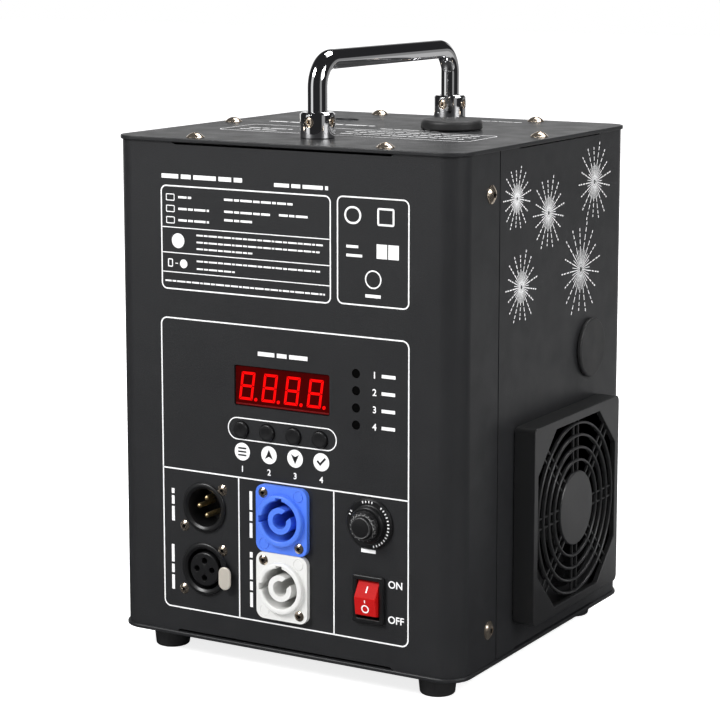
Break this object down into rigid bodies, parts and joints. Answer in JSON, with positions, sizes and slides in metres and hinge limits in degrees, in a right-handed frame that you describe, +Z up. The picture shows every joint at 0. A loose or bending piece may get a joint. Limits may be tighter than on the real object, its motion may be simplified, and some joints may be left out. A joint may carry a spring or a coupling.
{
  "type": "cold spark machine",
  "caption": "Upright steel case on rubber feet with a control panel, side fan, top spark outlet, filler plug and carrying handle; granule feed and blower inside.",
  "frame": {"origin": "on the floor, under the middle of the whole machine's box", "axes": "+Z up, the control panel faces -Y, the fan faces +X"},
  "size_m": [0.1916, 0.182, 0.282],
  "materials": {
    "case_paint": "satin powder coat",
    "rubber": "matt",
    "nickel": "bright nickel plating",
    "chrome": "mirror",
    "bare_steel": "plain",
    "aluminium": "plain",
    "ceramic": "matt fibre",
    "nylon": "natural",
    "black_plastic": "fine grain",
    "gold": "gold plating",
    "blue_plastic": "satin",
    "white_plastic": "satin",
    "red_plastic": "satin",
    "red_lens": "clear dark red",
    "board": "solder mask",
    "fuse_glass": "clear tube with metal ends"
  },
  "bodies": {
    "case": {"front_shell": "case_paint", "rear_shell": "case_paint", "top_plate": "case_paint", "bottom_plate": "case_paint", "foot_front_left": "rubber", "foot_front_right": "rubber", "foot_back_left": "rubber", "foot_back_right": "rubber", "top_screw_1": "nickel", "top_screw_2": "nickel", "top_screw_3": "nickel", "top_screw_4": "nickel", "top_screw_5": "nickel", "top_screw_6": "nickel", "handle_bar": "chrome", "handle_collar_front": "chrome", "handle_collar_back": "chrome", "hopper": "bare_steel", "hopper_lid": "bare_steel", "feed_tube": "bare_steel", "spark_chamber": "bare_steel", "feed_motor": "bare_steel", "motor_bracket": "bare_steel", "nozzle": "bare_steel", "chassis_shelf": "bare_steel", "air_duct": "aluminium", "heatsink": "aluminium", "heater_jacket": "ceramic", "auger_bush": "nylon", "blower_housing": "black_plastic", "fan_frame": "black_plastic", "fan_guard": "black_plastic", "data_in_shell": "black_plastic", "data_out_shell": "black_plastic", "data_out_insert": "black_plastic", "fuse_holder": "black_plastic", "switch_housing": "black_plastic", "data_in_pins": "gold", "power_in_socket": "blue_plastic", "power_out_socket": "white_plastic", "display_window": "red_lens", "control_board": "board", "power_board": "board"},
    "blower_impeller": {"blower_impeller": "black_plastic"},
    "button_1": {"button_1": "black_plastic"},
    "button_2": {"button_2": "black_plastic"},
    "button_3": {"button_3": "black_plastic"},
    "button_4": {"button_4": "black_plastic"},
    "data_out_tab": {"data_out_tab": "nickel"},
    "fan_cover": {"fan_cover": "black_plastic"},
    "fan_rotor": {"fan_rotor": "black_plastic"},
    "feed_auger": {"feed_auger": "bare_steel", "drive_gear": "nylon"},
    "filler_plug": {"filler_plug": "rubber"},
    "fuse_cap": {"fuse_cap": "black_plastic"},
    "fuse_link": {"fuse_link": "fuse_glass"},
    "motor_pinion": {"motor_pinion": "bare_steel"},
    "side_plug": {"side_plug": "rubber"},
    "switch_rocker": {"switch_rocker": "red_plastic"}
  },
  "joints": [
    {"name": "button_1_press", "type": "slide", "parent": "case", "child": "button_1", "axis": [0, 1, 0], "range_m": [0, 0.0008], "stiffness_N_per_m": 500},
    {"name": "button_2_press", "type": "slide", "parent": "case", "child": "button_2", "axis": [0, 1, 0], "range_m": [0, 0.0008], "stiffness_N_per_m": 500},
    {"name": "button_3_press", "type": "slide", "parent": "case", "child": "button_3", "axis": [0, 1, 0], "range_m": [0, 0.0008], "stiffness_N_per_m": 500},
    {"name": "button_4_press", "type": "slide", "parent": "case", "child": "button_4", "axis": [0, 1, 0], "range_m": [0, 0.0008], "stiffness_N_per_m": 500},
    {"name": "data_tab_press", "type": "slide", "parent": "case", "child": "data_out_tab", "axis": [0, 1, 0], "range_m": [0, 0.0008], "stiffness_N_per_m": 500},
    {"name": "switch_rock", "type": "hinge", "parent": "case", "child": "switch_rocker", "pos_m": [0.04095, -0.0803, 0.043], "axis": [1, 0, 0], "range_deg": [0, 24]},
    {"name": "fuse_pull", "type": "slide", "parent": "case", "child": "fuse_link", "axis": [0, -1, 0], "range_m": [0, 0.036]},
    {"name": "fuse_cap_turn", "type": "hinge", "parent": "fuse_link", "child": "fuse_cap", "pos_m": [0.04125, -0.086, 0.0773], "axis": [0, -1, 0], "range_deg": [0, 60]},
    {"name": "filler_plug_lift", "type": "slide", "parent": "case", "child": "filler_plug", "axis": [0, 0, 1], "range_m": [0, 0.055]},
    {"name": "side_plug_pull", "type": "slide", "parent": "case", "child": "side_plug", "axis": [1, 0, 0], "range_m": [0, 0.02]},
    {"name": "fan_cover_pull", "type": "slide", "parent": "case", "child": "fan_cover", "axis": [1, 0, 0], "range_m": [0, 0.015]},
    {"name": "fan_spin", "type": "hinge", "parent": "case", "child": "fan_rotor", "pos_m": [0.07015, 0.0156, 0.07], "axis": [1, 0, 0], "continuous": true},
    {"name": "blower_spin", "type": "hinge", "parent": "case", "child": "blower_impeller", "pos_m": [-0.02845, 0.042, 0.0515], "axis": [0, 1, 0], "continuous": true},
    {"name": "auger_spin", "type": "hinge", "parent": "case", "child": "feed_auger", "pos_m": [0.02615, 0.02, 0.1565], "axis": [-0.9606, 0.2781, 0], "continuous": true},
    {"name": "pinion_spin", "type": "hinge", "parent": "case", "child": "motor_pinion", "pos_m": [0.02615, 0.02, 0.1325], "axis": [-0.9606, 0.2781, 0], "continuous": true}
  ],
  "couplings": [
    {"joint": "pinion_spin", "follows": "auger_spin", "ratio": -3}
  ]
}
